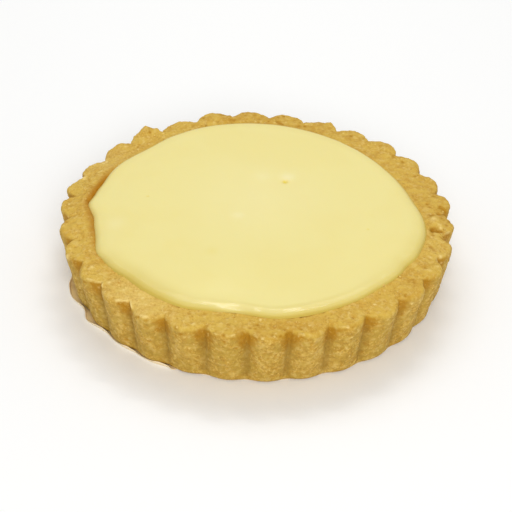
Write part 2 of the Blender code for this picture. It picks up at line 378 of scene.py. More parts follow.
def pick(piece, kind, test):  # kind is faces or edges, chosen by place or normal
    bpy.ops.mesh.select_mode(type={"faces": "FACE", "edges": "EDGE"}[kind])
    bpy.ops.mesh.select_all(action="DESELECT")
    cage = bmesh.from_edit_mesh(piece.data)
    for item in getattr(cage, kind):
        if test(item):
            item.select_set(True)
    bmesh.update_edit_mesh(piece.data)


def ends(edge):  # radius and height of an edge's two ends
    return [(math.hypot(v.co.x, v.co.y), v.co.z) for v in edge.verts]


def onRing(edge, radius, height, slack=0.3 * mm):
    return all(abs(r - radius) < slack and abs(z - height) < slack for r, z in ends(edge))


def acrossRings(edge, length, test):  # the edges of one band, from ring to ring
    (r0, z0), (r1, z1) = ends(edge)
    return math.hypot(r1 - r0, z1 - z0) > length and test(0.5 * (r0 + r1), 0.5 * (z0 + z1))


def facesUp(face):
    return face.normal.z > 0.9


def bevelRing(piece, radius, height, offset, segments):
    pick(piece, "edges", lambda edge: onRing(edge, radius, height))
    bpy.ops.mesh.bevel(offset=offset, segments=segments, profile=0.5, affect="EDGES")


def splitBand(piece, length, rows, test):
    pick(piece, "edges", lambda edge: acrossRings(edge, length, test))
    bpy.ops.mesh.subdivide(number_cuts=rows - 1)


def paintVertices(piece, name, tints):
    layer = piece.data.color_attributes.new(name, "FLOAT_COLOR", "POINT")
    layer.data.foreach_set("color", [number for tint in tints for number in tint])
    piece.data.update()


def finishPiece(piece, name, material, node):
    piece.name = name
    piece.data.name = name
    piece.data.materials.clear()
    piece.data.materials.append(material)
    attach(piece, "root")
    if node:
        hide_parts(node)
    piece.select_set(False)
    print(name, "done:", len(piece.data.polygons), "faces")


def smooth(x):
    x = min(max(x, 0.0), 1.0)
    return x * x * (3 - 2 * x)


def ramp(value, start, run):  # 0 up to the start, 1 after the run
    return smooth((value - start) / run)


def bell(away):
    return math.exp(-0.5 * away ** 2)


def swell(angle, centre, height, spread):  # centre and spread in degrees
    return height * bell(math.remainder(angle - centre * degree, 2 * math.pi) / (spread * degree))


def swells(angle, items):
    return sum(swell(angle, *item) for item in items)


def polar(x, y):
    return math.hypot(x, y), math.atan2(y, x)


def xy(radius, angle):
    return radius * math.cos(angle), radius * math.sin(angle)


# The pastry case: a cone with its hollow pressed in, then fluted

case = {
    "rimRadius": 100 * mm,
    "footRadius": 92.6 * mm,
    "lipRadius": 82.5 * mm,
    "crestHeight": 30.6 * mm,
    "lipHeight": 32.2 * mm,
    "floorThickness": 6 * mm,
    "lipRounding": 1.4 * mm,
    "edgeRounding": 2.6 * mm,
    "footRounding": 1.2 * mm,
    "hollowDraft": 4 * mm,
    "hollowCorner": 4 * mm,
    "flutes": 30,
    "valleyAngle": -8 * degree,
    "rimFluteDepth": 5.6 * mm,
    "footFluteDepth": 1.7 * mm,
    "rimLobePower": 0.9,
    "footLobePower": 1.2,
    "fluteStart": 86 * mm,
    "fluteTurns": [(90, -0.8, 20), (150, 1.4, 13), (302, -1.0, 12)],  # angle, turn and spread in degrees
    "stepsPerFlute": 32,
    "wallRows": 44,
    "rimRows": 22,
    "hollowRows": 5,
    "wallEdge": 20 * mm,  # edges longer than this are split into rows
    "rimEdge": 10 * mm,
    "wallFrom": 90 * mm,
    "floorInset": 40 * mm,
    "unevenFrom": 8 * mm,
    "unevenFull": 28.6 * mm,
    "crestUneven": 0.45 * mm,
    "crestUnevenStep": 2.1,
    "reliefHeight": 0.45 * mm,
    "reliefSize": 7 * mm,
    "reliefMargin": 1.5 * mm,
    "reliefEase": 4 * mm,
    "lumpsFrom": 24 * mm,
    # Lumps and grains all over, as name, size and height
    "grains": [("softLumps", 3.2 * mm, 0.75 * mm), ("crumbGrain", 1.5 * mm, 0.65 * mm)],
    "grainsFrom": -1 * mm,  # from the lip out, and further in along its strip
    "stripGrainsFrom": -1.2 * mm,
    "grainsRun": 3 * mm,
    "grainsRise": (1 * mm, 2 * mm),  # start and run up from the foot
}
# Waves of the cream's outline, as number round the tart, height in mm and angle in degrees
outlineWaves = [
    (1, 1.8, -136), (2, 2.3, -143), (3, 1.1, -22), (4, 0.75, -61), (5, 0.7, -30), (6, 0.55, -118),
]
# Swells as angle in degrees, height in mm and spread in degrees
outlineSwells = [
    (119, -0.8, 3.5), (137, -3.4, 9), (169, 1.2, 2.8), (177.4, 4.4, 4.1), (190, 1.3, 6), (207.5, 3.2, 6),
    (211, -1.0, 2.6), (225, -1.5, 4.5), (236, -0.6, 5), (254, -1.1, 3.2), (264, -5.0, 7), (272, -0.6, 5),
    (285, -0.9, 7), (309, 0.9, 6), (312, -0.9, 5), (329.8, -1.4, 2.8), (341, -0.7, 5), (10, -0.9, 6),
]
lipSwells = [(179, 1.9, 19)]
crestSwells = [
    (50, 0.6, 14), (98, 2.5, 13), (118, -0.8, 4), (130, 1.3, 4), (153, -0.9, 8), (185, 0.9, 30),
    (270, 0.7, 40),
]
crestReach = [
    (50, 0.7, 13), (105, 1.0, 8), (154, -0.7, 4), (188, -1.1, 12), (345, -1.0, 14), (357, -1.0, 6),
    (139, 0.9, 2.2), (168.6, 1.3, 1.3), (174.9, 0.9, 1.3), (158.9, 0.9, 1.2),
]
# The darker strip of the inner lip, as angle in degrees, strength and spread in degrees
stripSwells = [(190, 0.68, 13), (165, 0.93, 8), (46, 0.3, 13)]
# Stretches of the rim painted browner, and those painted paler; partly their own tone, partly painted
# light and shade, with the front left painted lighter and the front darker
bakeAndShadeSwells = [(276, 0.3, 16), (85, 0.42, 22), (5, 0.3, 22), (330, 0.12, 12)]
paleAndLitSwells = [(233, 0.36, 13), (150, 0.26, 12), (345, 0.2, 9)]
# Lumps of the rim, as angle in degrees, then radius, height and spread in mm
rimLumps = [
    (129.2, 97.5, 4.1, 2.1),
    (126.2, 97.5, 1.7, 2.0),
    (139.3, 97.0, 1.3, 2.4),
    (67.0, 98.5, 1.9, 1.8),
    (359.5, 88.5, 1.3, 2.6),
    (354.5, 89.0, -1.2, 1.7),
]


def outlineShift(angle):
    waves = sum(height * math.cos(count * angle - phase * degree) for count, height, phase in outlineWaves)
    return (waves + swells(angle, outlineSwells)) * mm


def followOutline(radius, angle):
    inside = min(radius / case["lipRadius"], 1)
    outside = smooth((case["footRadius"] - radius) / (case["footRadius"] - case["lipRadius"]))
    return radius + outlineShift(angle) * inside * outside


def lobe(angle, up):  # 0 in a valley, 1 on a crest, for a share of the wall's height
    power = case["footLobePower"] + (case["rimLobePower"] - case["footLobePower"]) * up
    return abs(math.sin((angle - case["valleyAngle"]) * case["flutes"] / 2)) ** power


def unevenness(height):  # 0 down in the hollow and at the foot, 1 at the rim
    return smooth((height - case["unevenFrom"]) / (case["unevenFull"] - case["unevenFrom"]))


def fluteTurn(angle):
    return swells(angle, case["fluteTurns"]) * degree


def crestLift(angle, turned):  # swells by a point's own place, uneven flutes by their even places
    flute = math.floor((angle - case["valleyAngle"]) * case["flutes"] / (2 * math.pi)) % case["flutes"]
    uneven = case["crestUneven"] * math.sin(case["crestUnevenStep"] * flute) * lobe(angle, 1)
    return swells(turned, crestSwells) * mm + uneven


def lumpHeight(x, y):
    total = 0.0
    for angle, radius, height, spread in rimLumps:
        centreX, centreY = xy(radius * mm, angle * degree)
        total += height * mm * bell(math.hypot(x - centreX, y - centreY) / (spread * mm))
    return total


def outerShare(radius, height):
    up = height / case["crestHeight"]
    wallRadius = case["footRadius"] + (case["rimRadius"] - case["footRadius"]) * up
    return smooth((radius - case["fluteStart"]) / (wallRadius - case["fluteStart"]))


def casePoint(radius, height, angle):
    up = height / case["crestHeight"]
    outer = outerShare(radius, height)
    depth = case["footFluteDepth"] + (case["rimFluteDepth"] - case["footFluteDepth"]) * up
    turned = angle + fluteTurn(angle) * outer
    moved = followOutline(radius, turned)
    moved += (swells(turned, crestReach) * mm * up - depth * (1 - lobe(angle, up))) * outer
    rimWidth = case["rimRadius"] - case["lipRadius"] - case["edgeRounding"]
    across = ramp(radius, case["lipRadius"], rimWidth)
    lift = swells(turned, lipSwells) * mm * (1 - across) + crestLift(angle, turned) * across
    spot = Vector((*xy(moved, turned), height))
    relief = case["reliefHeight"] * noise.noise(spot / case["reliefSize"])
    raised = lumpHeight(spot.x, spot.y) if height > case["lumpsFrom"] else 0.0
    rim = ramp(radius, case["lipRadius"] + case["reliefMargin"], case["reliefEase"])
    moved += relief * outer * smooth(height / case["unevenFrom"])
    level = height + (lift + (relief + raised) * rim) * unevenness(height) + footLevel
    return moved, level, turned


def modelCaseBlank():
    bpy.ops.mesh.primitive_cone_add(
        vertices=case["flutes"] * case["stepsPerFlute"],
        radius1=case["footRadius"],
        radius2=case["rimRadius"],
        depth=case["crestHeight"],
        location=(0, 0, case["crestHeight"] / 2),
        rotation=(0, 0, case["valleyAngle"]),
    )
    piece = bpy.context.object
    bpy.ops.object.transform_apply(location=True, rotation=True, scale=True)
    edit(piece)
    pick(piece, "faces", facesUp)
    bpy.ops.mesh.inset(thickness=case["rimRadius"] - case["lipRadius"])
    bpy.ops.transform.translate(value=(0, 0, case["lipHeight"] - case["crestHeight"]))
    sunk = case["lipHeight"] - case["floorThickness"]
    bpy.ops.mesh.extrude_region_move(TRANSFORM_OT_translate={"value": (0, 0, -sunk)})
    floorRadius = case["lipRadius"] - case["hollowDraft"]
    narrower = floorRadius / case["lipRadius"]
    middle = (0, 0, case["floorThickness"])
    bpy.ops.transform.resize(value=(narrower, narrower, 1), center_override=middle)
    bevelRing(piece, case["lipRadius"], case["lipHeight"], case["lipRounding"], segments=5)
    bevelRing(piece, case["rimRadius"], case["crestHeight"], case["edgeRounding"], segments=6)
    bevelRing(piece, case["footRadius"], 0, case["footRounding"], segments=2)
    bevelRing(piece, floorRadius, case["floorThickness"], case["hollowCorner"], segments=2)
    lip, floorTop, halfway = case["lipRadius"], case["floorThickness"], 0.5 * case["crestHeight"]
    splitBand(piece, case["wallEdge"], case["wallRows"], lambda r, z: r > case["wallFrom"])
    splitBand(piece, case["rimEdge"], case["rimRows"], lambda r, z: r > lip and z > halfway)
    splitBand(piece, case["rimEdge"], case["hollowRows"], lambda r, z: r < lip and z > floorTop)
    pick(piece, "faces", lambda face: len(face.verts) > 4)
    bpy.ops.mesh.inset(thickness=case["floorInset"])
    bpy.ops.mesh.poke()
    leave(piece)
    return piece


# Crumbly ledges on the rim's outer edge, the seen ones as first and last angle in degrees and height in mm
ledges = {
    "seen": [
        (215, 222.5, 0.7), (228, 234.5, 0.8), (236, 241, 0.7), (256.5, 267.5, 0.6),
        (269, 273, 0.8), (281, 284.5, 0.5), (292.5, 296.5, 0.5), (202.5, 209, 0.8),
    ],
    "front": (195, 300),  # where only the seen ones are
    "seed": 23,
    "chance": 0.6,
    "start": (-5, 0),  # degrees from a valley
    "length": (2.5, 6),  # in degrees
    "height": (0.3, 0.6),  # in mm
    "ease": 1.2,  # degrees over which an end rises
    "whole": 0.8,  # share of it that stays, changed by noises of two strengths and sizes
    "breaks": [(1.2, 1.7 * mm), (0.8, 4 * mm)],
    "reach": 6 * mm,
    "inside": 0.7 * mm,  # from the edge to the middle of the ledge
    "width": 0.85 * mm,
    "wander": 0.8 * mm,
    "wanderSize": 4 * mm,
    "outShare": 0.5,  # how far it stands out for its height
    "grooveBelow": 1.5 * mm,
    "grooveShare": 0.7,
    "grooveShadeTint": 0.6,  # painted shade under the ledge, in the toasted colour, for a height of 1 mm
    "pale": 0.65,
}
# The browned arches at the top of the valleys, and the grooves below them, cut in and darkened with
# painted shade
arch = {
    "top": (-0.3 * mm, 2.2 * mm),  # how far below the rim's edge they begin, and are full
    "bottom": (5 * mm, 16 * mm),  # where they begin to fade, and where they end
    "wide": 0.62,  # how far up the lobe they reach at the top, and at the bottom
    "narrow": 0.25,
    "softness": 0.8,
    "lobeLevel": 0.9,  # share of the wall's height at which the lobes are compared
    "grooveSpread": 0.95 * degree,
    "grooveFromRim": (2 * mm, 9 * mm),  # start and run
    "grooveFromFoot": (0.5 * mm, 3 * mm),
    "grooveDepth": 0.55 * mm,
    "grooveShade": 0.57,
}
# The lowered strip along the inner lip, and where the wall's paint begins
innerStrip = {
    "depth": 0.7 * mm,
    "across": (0.4 * mm, 3.8 * mm),  # from the lip out, start and run over which it ends
    "rise": (26 * mm, 4 * mm),
}
wallPaint = {
    "under": 3 * mm,  # below the crests
    "beyond": (90 * mm, 2 * mm),
}


def ledgeList():
    draw = random.Random(ledges["seed"])
    found = list(ledges["seen"])
    pitch = 360 / case["flutes"]
    frontFirst, frontLast = ledges["front"]
    for flute in range(case["flutes"]):
        first = case["valleyAngle"] / degree + flute * pitch + draw.uniform(*ledges["start"])
        last = first + draw.uniform(*ledges["length"])
        height = draw.uniform(*ledges["height"])
        hidden = not frontFirst < first % 360 < frontLast
        if hidden and draw.random() < ledges["chance"]:
            found.append((first, last, height))
    return found


def ledgeHeight(angle, found):
    total = 0.0
    ease = ledges["ease"]
    for first, last, height in found:
        into = math.remainder(angle / degree - first, 360)
        if 0 < into < last - first:
            total += height * mm * smooth(into / ease) * smooth((last - first - into) / ease)
    spot = Vector((*xy(1, angle), 0)) * case["rimRadius"]
    whole = ledges["whole"] + sum(share * noise.noise(spot / size) for share, size in ledges["breaks"])
    return total * max(whole, 0)


def archShare(radius, height, angle):
    under = case["crestHeight"] - height
    first, full = arch["top"]
    fades, ends = arch["bottom"]
    rise = ramp(under, first, full - first)
    fall = ramp(under, fades, ends - fades)
    reach = arch["wide"] + (arch["narrow"] - arch["wide"]) * fall
    softness = arch["softness"]
    inside = smooth((reach + 0.5 * softness - lobe(angle, arch["lobeLevel"])) / softness)
    return inside * rise * (1 - fall) * outerShare(radius, height)


# The share below both cuts each valley's groove and darkens it with painted shade.
def valleyShare(radius, height, angle):  # the narrow groove down each valley
    pitch = 2 * math.pi / case["flutes"]
    away = math.remainder(angle - case["valleyAngle"], pitch)
    share = bell(away / arch["grooveSpread"]) * ramp(case["crestHeight"] - height, *arch["grooveFromRim"])
    return share * ramp(height, *arch["grooveFromFoot"]) * outerShare(radius, height)


def fluteCase(piece):
    shown = piece.vertex_groups.new(name="shown")
    tints, shades = [], []
    found = ledgeList()
    for vertex in piece.data.vertices:
        radius, angle = polar(vertex.co.x, vertex.co.y)
        height = vertex.co.z
        moved, level, turned = casePoint(radius, height, angle)
        outer = outerShare(radius, height)
        under = case["crestHeight"] - height
        beyond = radius - case["lipRadius"]

        # a crumbly ledge on the edge with a groove under it, and the groove down the valley
        run = case["rimRadius"] - radius - under
        ledge = ledgeHeight(turned, found) * outer if abs(run) < ledges["reach"] else 0.0
        wander = ledges["wander"] * noise.noise(Vector((*xy(moved, turned), 0)) / ledges["wanderSize"])
        ridge = ledge * math.exp(-((run - ledges["inside"] - wander) / ledges["width"]) ** 2)
        groove = ledge * math.exp(-((run + ledges["grooveBelow"] - wander) / ledges["width"]) ** 2)
        valley = valleyShare(radius, height, angle)
        moved += ledges["outShare"] * ridge - ledges["grooveShare"] * groove - arch["grooveDepth"] * valley

        # the lowered strip of the inner lip
        strip = swells(angle, stripSwells)
        inner = 1 - ramp(beyond, *innerStrip["across"])
        level += ridge - innerStrip["depth"] * strip * inner * ramp(height, *innerStrip["rise"])
        vertex.co = (*xy(moved, turned), level)

        # paint, as toasted with painted shade, pale with painted light, wall, and as painted shade in the
        # groove, strip
        dark = min(inner * strip, 1)
        onWall = ramp(under, 0, wallPaint["under"]) * ramp(radius, *wallPaint["beyond"])
        toastedAndShaded = archShare(radius, height, angle) + swells(angle, bakeAndShadeSwells) * (1 - onWall)
        # painted shade in the groove under the ledge, in the toasted colour
        toastedAndShaded += ledges["grooveShadeTint"] * groove / mm
        # pale includes painted light on the lighter stretches of the rim
        pale = ledges["pale"] * ridge / mm + swells(angle, paleAndLitSwells) * (1 - onWall) * (1 - dark)
        tints.append((min(toastedAndShaded, 1), min(pale, 1), onWall, 1))
        shades.append((arch["grooveShade"] * valley, dark, 0, 1))
        grainsFrom = case["grainsFrom"] + case["stripGrainsFrom"] * strip
        rough = ramp(beyond, grainsFrom, case["grainsRun"]) * ramp(height, *case["grainsRise"])
        if rough > 0:
            shown.add([vertex.index], rough, "REPLACE")
    paintVertices(piece, "bakeLightAndShade", tints)
    paintVertices(piece, "shade", shades)


def roughen(piece, name, size, height):
    grain = bpy.data.textures.new(name, "CLOUDS")
    grain.noise_scale = size
    grain.noise_depth = 2
    layer = piece.modifiers.new(name, "DISPLACE")
    layer.texture = grain
    layer.texture_coords = "LOCAL"
    layer.strength = height
    layer.mid_level = 0.5
    layer.vertex_group = "shown"
    bpy.context.view_layer.objects.active = piece
    bpy.ops.object.modifier_apply(modifier=name)


# Small marks of the crust
marks = {
    "seed": 11,
    # Pits and grains, as number, sizes and heights in mm, toasted and pale; the pits' toasted tint is
    # partly browning, partly painted shade in the holes, and the grains' pale tint partly painted glints
    "kinds": [
        (760, (0.35, 0.8), (-0.15, -0.5), 0.7, 0.0),
        (520, (0.35, 0.7), (0.12, 0.34), 0.0, 0.6),
    ],
    "tint": (0.3, 1.0),
    "fromFoot": 3 * mm,
    "fromLip": 3 * mm,
    "rimHeight": 32 * mm,
    "reach": 2.6,  # for a size of 1
}
# Places seen on the rim, as angle in degrees, then radius, size and height in mm, toasted and pale; the
# sunk ones' toasted tint is partly painted shade in the holes, the raised ones' pale tint partly painted
# highlight
rimPlaces = [
    (354.2, 87.0, 1.1, -1.2, 1.0, 0.0),
    (354.4, 88.8, 1.1, -1.6, 1.0, 0.0),
    (354.0, 90.6, 0.9, -1.2, 1.0, 0.0),
    (353.8, 91.6, 0.7, -0.5, 0.6, 0.0),
    (358.8, 88.0, 1.5, 0.8, 0.0, 0.5),
    (356.6, 90.4, 1.1, 0.7, 0.0, 0.4),
    (0.8, 90.6, 1.1, 0.6, 0.0, 0.3),
    (2.6, 87.6, 0.9, -0.9, 0.9, 0.0),
    (5.6, 95.0, 1.1, -1.4, 1.0, 0.0),
    (7.4, 93.2, 0.9, -1.1, 1.0, 0.0),
    (3.6, 91.6, 0.9, -0.9, 0.9, 0.0),
    (350.6, 94.2, 1.0, -1.2, 1.0, 0.0),
    (349.8, 96.2, 0.8, -0.9, 0.9, 0.0),
    (339.6, 94.6, 0.8, -1.0, 0.8, 0.0),
    (339.0, 96.4, 0.7, -0.8, 0.7, 0.0),
    (341.0, 95.2, 0.7, 0.5, 0.0, 0.7),
    (129.0, 95.6, 0.8, -0.4, 1.0, 0.0),
    (129.2, 97.4, 1.0, 1.0, 0.0, 0.1),
    (125.6, 96.3, 1.0, 1.5, 0.0, 0.2),
    (97.5, 96.0, 0.9, -0.3, 0.8, 0.0),
    (86.0, 96.4, 0.9, -0.3, 0.7, 0.0),
    (35.0, 92.5, 0.8, -0.4, 0.8, 0.0),
    (26.0, 90.5, 0.8, -0.4, 0.7, 0.0),
]
# And on the wall, as angle in degrees, then level, size and height in mm, toasted and pale; the sunk ones'
# toasted tint is partly painted shade in the holes
wallPlaces = [
    (250.6, 27.6, 1.0, -0.6, 1.0, 0.0),
    (215.5, 29.5, 0.8, -0.5, 0.9, 0.0),
    (203.5, 29.8, 1.1, 0.5, 0.0, 0.8),
    (266.0, 22.0, 0.5, -0.4, 0.9, 0.0),
    (240.0, 13.0, 0.5, -0.4, 0.8, 0.0),
    (297.0, 24.0, 0.6, 0.4, 0.0, 0.6),
    (318.0, 28.0, 0.6, 0.5, 0.0, 0.7),
]


def caseMarks(piece):
    draw = random.Random(marks["seed"])
    points = piece.data.vertices
    inner = case["lipRadius"] + marks["fromLip"]
    outside = [v for v in points if math.hypot(v.co.x, v.co.y) > inner]
    shown = [v.index for v in outside if v.co.z > marks["fromFoot"]]
    spots = []
    for count, sizes, heights, toastedAndShaded, pale in marks["kinds"]:
        for _ in range(count):
            centre = points[draw.choice(shown)].co.copy()
            tint = draw.uniform(*marks["tint"])
            size = draw.uniform(*sizes) * mm
            height = draw.uniform(*heights) * mm
            spots.append((centre, size, height, toastedAndShaded * tint, pale * tint))
    for angle, radius, size, height, toastedAndShaded, pale in rimPlaces:
        centre = Vector((*xy(radius * mm, angle * degree), marks["rimHeight"]))
        spots.append((centre, size * mm, height * mm, toastedAndShaded, pale))
    for angle, level, size, height, toastedAndShaded, pale in wallPlaces:
        centre = Vector((*xy(case["rimRadius"], angle * degree), level * mm + footLevel))
        spots.append((centre, size * mm, height * mm, toastedAndShaded, pale))
    pressSpots(piece, spots)


def pressSpots(piece, spots):
    points = piece.data.vertices
    tree = KDTree(len(points))
    for vertex in points:
        tree.insert(vertex.co, vertex.index)
    tree.balance()
    bakeLightAndShade = piece.data.color_attributes["bakeLightAndShade"].data
    push = {}
    for centre, size, height, toastedAndShaded, pale in spots:
        nearest, _, _ = tree.find(centre)
        for place, index, away in tree.find_range(nearest, marks["reach"] * size):
            share = bell(away / size)
            push[index] = push.get(index, 0.0) + height * share
            # a toasted spot is partly painted shade in a pit, a pale one partly a painted glint on a grain
            brownerAndShaded = min(bakeLightAndShade[index].color[0] + toastedAndShaded * share, 1)
            paler = min(bakeLightAndShade[index].color[1] + pale * share, 1)
            bakeLightAndShade[index].color = (brownerAndShaded, paler, bakeLightAndShade[index].color[2], 1)
    normals = {index: points[index].normal.copy() for index in push}
    for index, height in push.items():
        points[index].co += normals[index] * height
    piece.data.update()


def addCase(material):
    piece = modelCaseBlank()
    fluteCase(piece)
    for name, size, height in case["grains"]:
        roughen(piece, name, size, height)
    caseMarks(piece)
    piece.data.shade_smooth()
    finishPiece(piece, "pastryCase", material, "crust")
    return piece


# The lemon cream: a disc with a full rounded edge that leans over the lip

cream = {
    "radius": 82.2 * mm,
    "height": 34.9 * mm,
    "edgeWidth": 18 * mm,  # the stretch in from its foot that has finer rings
    "edgeRun": 0.4 * mm,  # how far its foot runs out over the rim
    "dome": 0.5 * mm,
    "heldDip": 0.6,
    "levelRadius": 60 * mm,
    "heldLift": 1.0 * mm,
    "steps": 480,
    "lipRings": 4,
    "edgeRings": 40,
    "edgeRingPower": 1.8,
    "topRings": 34,
    "fineBelow": 2,  # marks smaller than this in mm get finer faces round them
    "fineReach": 7,  # for a size of 1
    "fineCuts": 3,
    "gap": 0.3 * mm,
    "press": 0.1 * mm,  # how far it sinks into the case's lip, so that no slit shows
    "heldBack": 0.75 * mm,
    "rippleHeight": 0.06 * mm,
    "rippleSize": 26 * mm,
    "edgeRipple": 0.16 * mm,
    "edgeRippleSizes": (11 * mm, 5 * mm),
    "edgeRippleFrom": (76.2 * mm, 4 * mm),  # radius at which it starts, and its run
    "sidePower": 2.2,
    # From its foot in: the side, the end of the shoulder, the run over which it eases off, and its slope
    "roundEdge": (3.6 * mm, 4.0 * mm, 3.0 * mm, 0.05),
    "frontEdge": (2.1 * mm, 3.9 * mm, 1.5 * mm, 0.145),
    "spiltEdge": (0.3 * mm, 4.7 * mm, 1.2 * mm, 0.13),
    "front": (279, 1, 20),  # angle in degrees, share and spread in degrees
    "dipRun": 40 * mm,  # how far in from its foot a dip reaches
    "paintFrom": 25 * mm,  # the height above which its side is painted
}
# Where the cream has run out flat over the lip, as angle in degrees, share and spread in degrees
creamSpills = [(262.5, 1, 4)]
# Where it slopes away from further in, as angle in degrees, depth in mm and spread in degrees
creamDips = [(261, 1.2, 13), (318, 0.8, 18)]
# Bands of painted shade along its edge, as strength, how far in from the foot they reach and the run over
# which they fade, both in mm, and the share that is missing where the cream has run out flat
creamShadeBands = [(0.1, 9, 6, 0.0), (0.3, 4.4, 3.4, 0.8), (0.5, 1.4, 1.4, 0.5)]
# Where the painted shade reaches further in, as angle in degrees, strength, spread in degrees, then reach
# and run in mm
creamShades = [(280, 0.22, 18, 8, 3), (232, 0.4, 15, 13, 11), (335, 0.2, 16, 13, 11)]
# Marks on the cream, as angle in degrees, then radius, size and height in mm, pit and halo
creamPlaces = [
    (61.4, 28.2, 1.05, -0.3, 1.0, 0.0),
    (63.4, 33.0, 2.6, 0.15, 0.0, 0.6),
    (171.6, 55.9, 0.5, -0.1, 0.45, 0.0),
    (344.1, 56.5, 0.45, -0.08, 0.4, 0.0),
    (86.8, 29.8, 3.0, 0.05, 0.0, 0.25),
    (214.1, 11.7, 2.0, 0.08, 0.0, 0.4),
    (192.8, 71.5, 3.2, 0.0, 0.0, 0.3),
    (240.7, 43.5, 2.2, 0.0, 0.12, 0.0),
    (90, 8, 22, 0.0, 0.0, 0.3),
]


def modelCreamBlank():
    throat = case["lipHeight"] - case["lipRounding"]
    floorLevel = case["floorThickness"] + cream["gap"]
    floorRadius = cream["radius"] - case["hollowDraft"]
    bpy.ops.mesh.primitive_cone_add(
        vertices=cream["steps"],
        radius1=floorRadius,
        radius2=case["lipRadius"] + cream["press"],
        depth=throat - floorLevel,
        location=(0, 0, 0.5 * (floorLevel + throat)),
    )
    piece = bpy.context.object
    bpy.ops.object.transform_apply(location=True, rotation=True, scale=True)
    edit(piece)
    bevelRing(piece, floorRadius, floorLevel, case["hollowCorner"], segments=2)
    pick(piece, "faces", facesUp)
    radius, level = case["lipRadius"] + cream["press"], throat

    # round the lip's edge, out to the thin foot, up over the edge and in to the middle
    under = case["lipRounding"] - cream["press"]
    footRadius = creamFootRadius()
    rings = []
    for k in range(1, cream["lipRings"] + 1):
        across, up = xy(under, (180 - 90 * k / cream["lipRings"]) * degree)
        rings.append((case["lipRadius"] + case["lipRounding"] + across, throat + up))
    for k in range(cream["edgeRings"] + 1):
        inward = cream["edgeWidth"] * (k / cream["edgeRings"]) ** cream["edgeRingPower"]
        rings.append((footRadius - inward, edgeLevel(inward, cream["frontEdge"], 0)))
    for k in range(1, cream["topRings"]):
        rings.append(((footRadius - cream["edgeWidth"]) * (1 - k / cream["topRings"]), cream["height"]))
    for newRadius, newLevel in rings:
        bpy.ops.mesh.extrude_region_move(TRANSFORM_OT_translate={"value": (0, 0, newLevel - level)})
        scale = newRadius / radius
        bpy.ops.transform.resize(value=(scale, scale, 1), center_override=(0, 0, newLevel))
        radius, level = newRadius, newLevel
    pick(piece, "faces", lambda face: len(face.verts) > 4)
    bpy.ops.mesh.poke()

    # finer faces for the pit and the small specks
    for placeAngle, placeRadius, size, *_ in creamPlaces:
        if size < cream["fineBelow"]:
            centre = Vector((*xy(placeRadius * mm, placeAngle * degree), cream["height"]))
            reach = cream["fineReach"] * size * mm
            pick(piece, "faces", lambda face: (face.calc_center_median() - centre).length < reach)
            bpy.ops.mesh.subdivide(number_cuts=cream["fineCuts"])
    leave(piece)
    return piece


def creamFootRadius():
    return case["lipRadius"] + case["lipRounding"] + cream["edgeRun"]


def edgeShape(angle):
    share, spilt = swell(angle, *cream["front"]), swells(angle, creamSpills)
    shape = [a + (b - a) * share for a, b in zip(cream["roundEdge"], cream["frontEdge"])]
    shape = [a + (b - a) * spilt for a, b in zip(shape, cream["spiltEdge"])]
    return shape, swells(angle, creamDips) * mm


def edgeLevel(inward, shape, dip):  # height of the edge this far in from its foot
    side, flat, ease, slope = shape
    foot = case["lipHeight"] - cream["press"]
    run = min(max((inward - flat) / ease, 0), 1)
    drop = slope * (max(flat - inward, 0) + ease * (0.5 - run + run ** 3 - 0.5 * run ** 4))
    drop += dip * (1 - smooth(inward / cream["dipRun"]))
    sideHeight = cream["height"] - foot - slope * (flat + 0.5 * ease) - dip
    return cream["height"] - drop - sideHeight * max(1 - inward / side, 0) ** cream["sidePower"]


def creamPoint(radius, height, angle):
    throat = case["lipHeight"] - case["lipRounding"]
    nearEdge = ramp(radius, cream["levelRadius"], cream["radius"] - cream["levelRadius"])
    top = ramp(height, case["lipHeight"], cream["height"] - case["lipHeight"])

    # where the lip swells up, the cream's edge lies lower, in a narrower part of the hollow
    lift = swells(angle, lipSwells) * mm
    edge = nearEdge * unevenness(height)
    draft = case["hollowDraft"] / (case["lipHeight"] - case["floorThickness"])
    over = ramp(height, throat, case["lipRounding"])
    held = min(lift / cream["heldLift"], 1) ** 0.5
    narrower = (1 + cream["heldDip"]) * lift * edge * draft + cream["heldBack"] * held * over * nearEdge
    level = height - cream["heldDip"] * lift * edge
    level += cream["dome"] * (1 - min(radius / cream["radius"], 1) ** 2) * top

    # a faint ripple all over, a wavier edge, and that edge's shape at this angle
    spot = Vector((*xy(radius, angle), 0))
    level += cream["rippleHeight"] * noise.noise(spot / cream["rippleSize"]) * top
    broad, narrow = cream["edgeRippleSizes"]
    along = noise.noise(spot / broad) + 0.5 * noise.noise(spot / narrow)
    level += cream["edgeRipple"] * along * ramp(radius, *cream["edgeRippleFrom"]) * top
    inward = max(creamFootRadius() - radius, 0)
    if height > case["lipHeight"] - 1.5 * cream["press"]:
        level += edgeLevel(inward, *edgeShape(angle)) - edgeLevel(inward, cream["frontEdge"], 0)
    return followOutline(radius - narrower, angle), level + footLevel


def creamShadeShare(radius, angle):  # how strong the painted shade on its edge is
    outward = radius - creamFootRadius()
    spilt = swells(angle, creamSpills)
    side = 0.0
    for strength, reach, run, missing in creamShadeBands:
        side += strength * ramp(outward, -reach * mm, run * mm) * (1 - missing * spilt)
    for centre, strength, spread, reach, run in creamShades:
        side += swell(angle, centre, strength, spread) * ramp(outward, -reach * mm, run * mm)
    return min(side, 1)


def creamMark(x, y):  # height, pit and halo of the marks at this place
    total = [0.0, 0.0, 0.0]
    for angle, radius, size, *values in creamPlaces:
        centreX, centreY = xy(radius * mm, angle * degree)
        share = bell(math.hypot(x - centreX, y - centreY) / (size * mm))
        total = [sofar + value * share for sofar, value in zip(total, values)]
    return total


